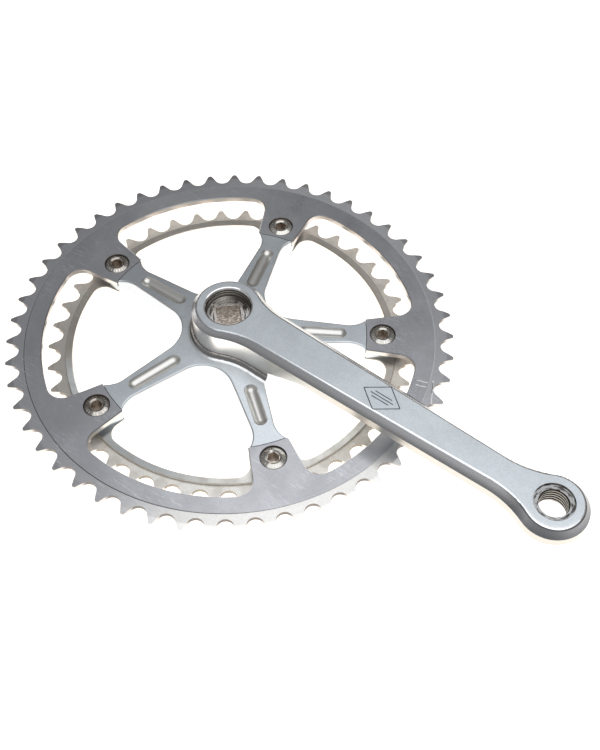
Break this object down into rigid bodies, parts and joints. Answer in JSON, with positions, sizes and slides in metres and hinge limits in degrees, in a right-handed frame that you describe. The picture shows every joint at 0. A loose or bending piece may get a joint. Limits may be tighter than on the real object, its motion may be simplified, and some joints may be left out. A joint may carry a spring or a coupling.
{
  "type": "bicycle crankset",
  "caption": "Right-hand road bicycle crank with a five-arm spider, two toothed chainrings bolted to it with sleeve nuts, a square spindle socket and a threaded pedal eye.",
  "frame": {"origin": "on the spindle axis, in the inboard end face of the hub boss", "axes": "+Z along the spindle axis outboard, +X from the spindle axis to the pedal axis"},
  "size_m": [0.2907, 0.2108, 0.0324],
  "materials": {
    "crank": "satin anodised forging, light blue-grey",
    "outer_ring": "satin anodised plate, darker grey, scratched, worn dark at the tooth tips",
    "inner_ring": "satin anodised plate, warm grey",
    "bolt_steel": "polished nickel plate"
  },
  "bodies": {
    "root": {"crank_arm": "crank", "outer_chainring": "outer_ring", "inner_chainring": "inner_ring", "chainring_bolt_1": "bolt_steel", "chainring_bolt_2": "bolt_steel", "chainring_bolt_3": "bolt_steel", "chainring_bolt_4": "bolt_steel", "chainring_bolt_5": "bolt_steel", "chainring_nut_1": "bolt_steel", "chainring_nut_2": "bolt_steel", "chainring_nut_3": "bolt_steel", "chainring_nut_4": "bolt_steel", "chainring_nut_5": "bolt_steel"}
  },
  "joints": []
}
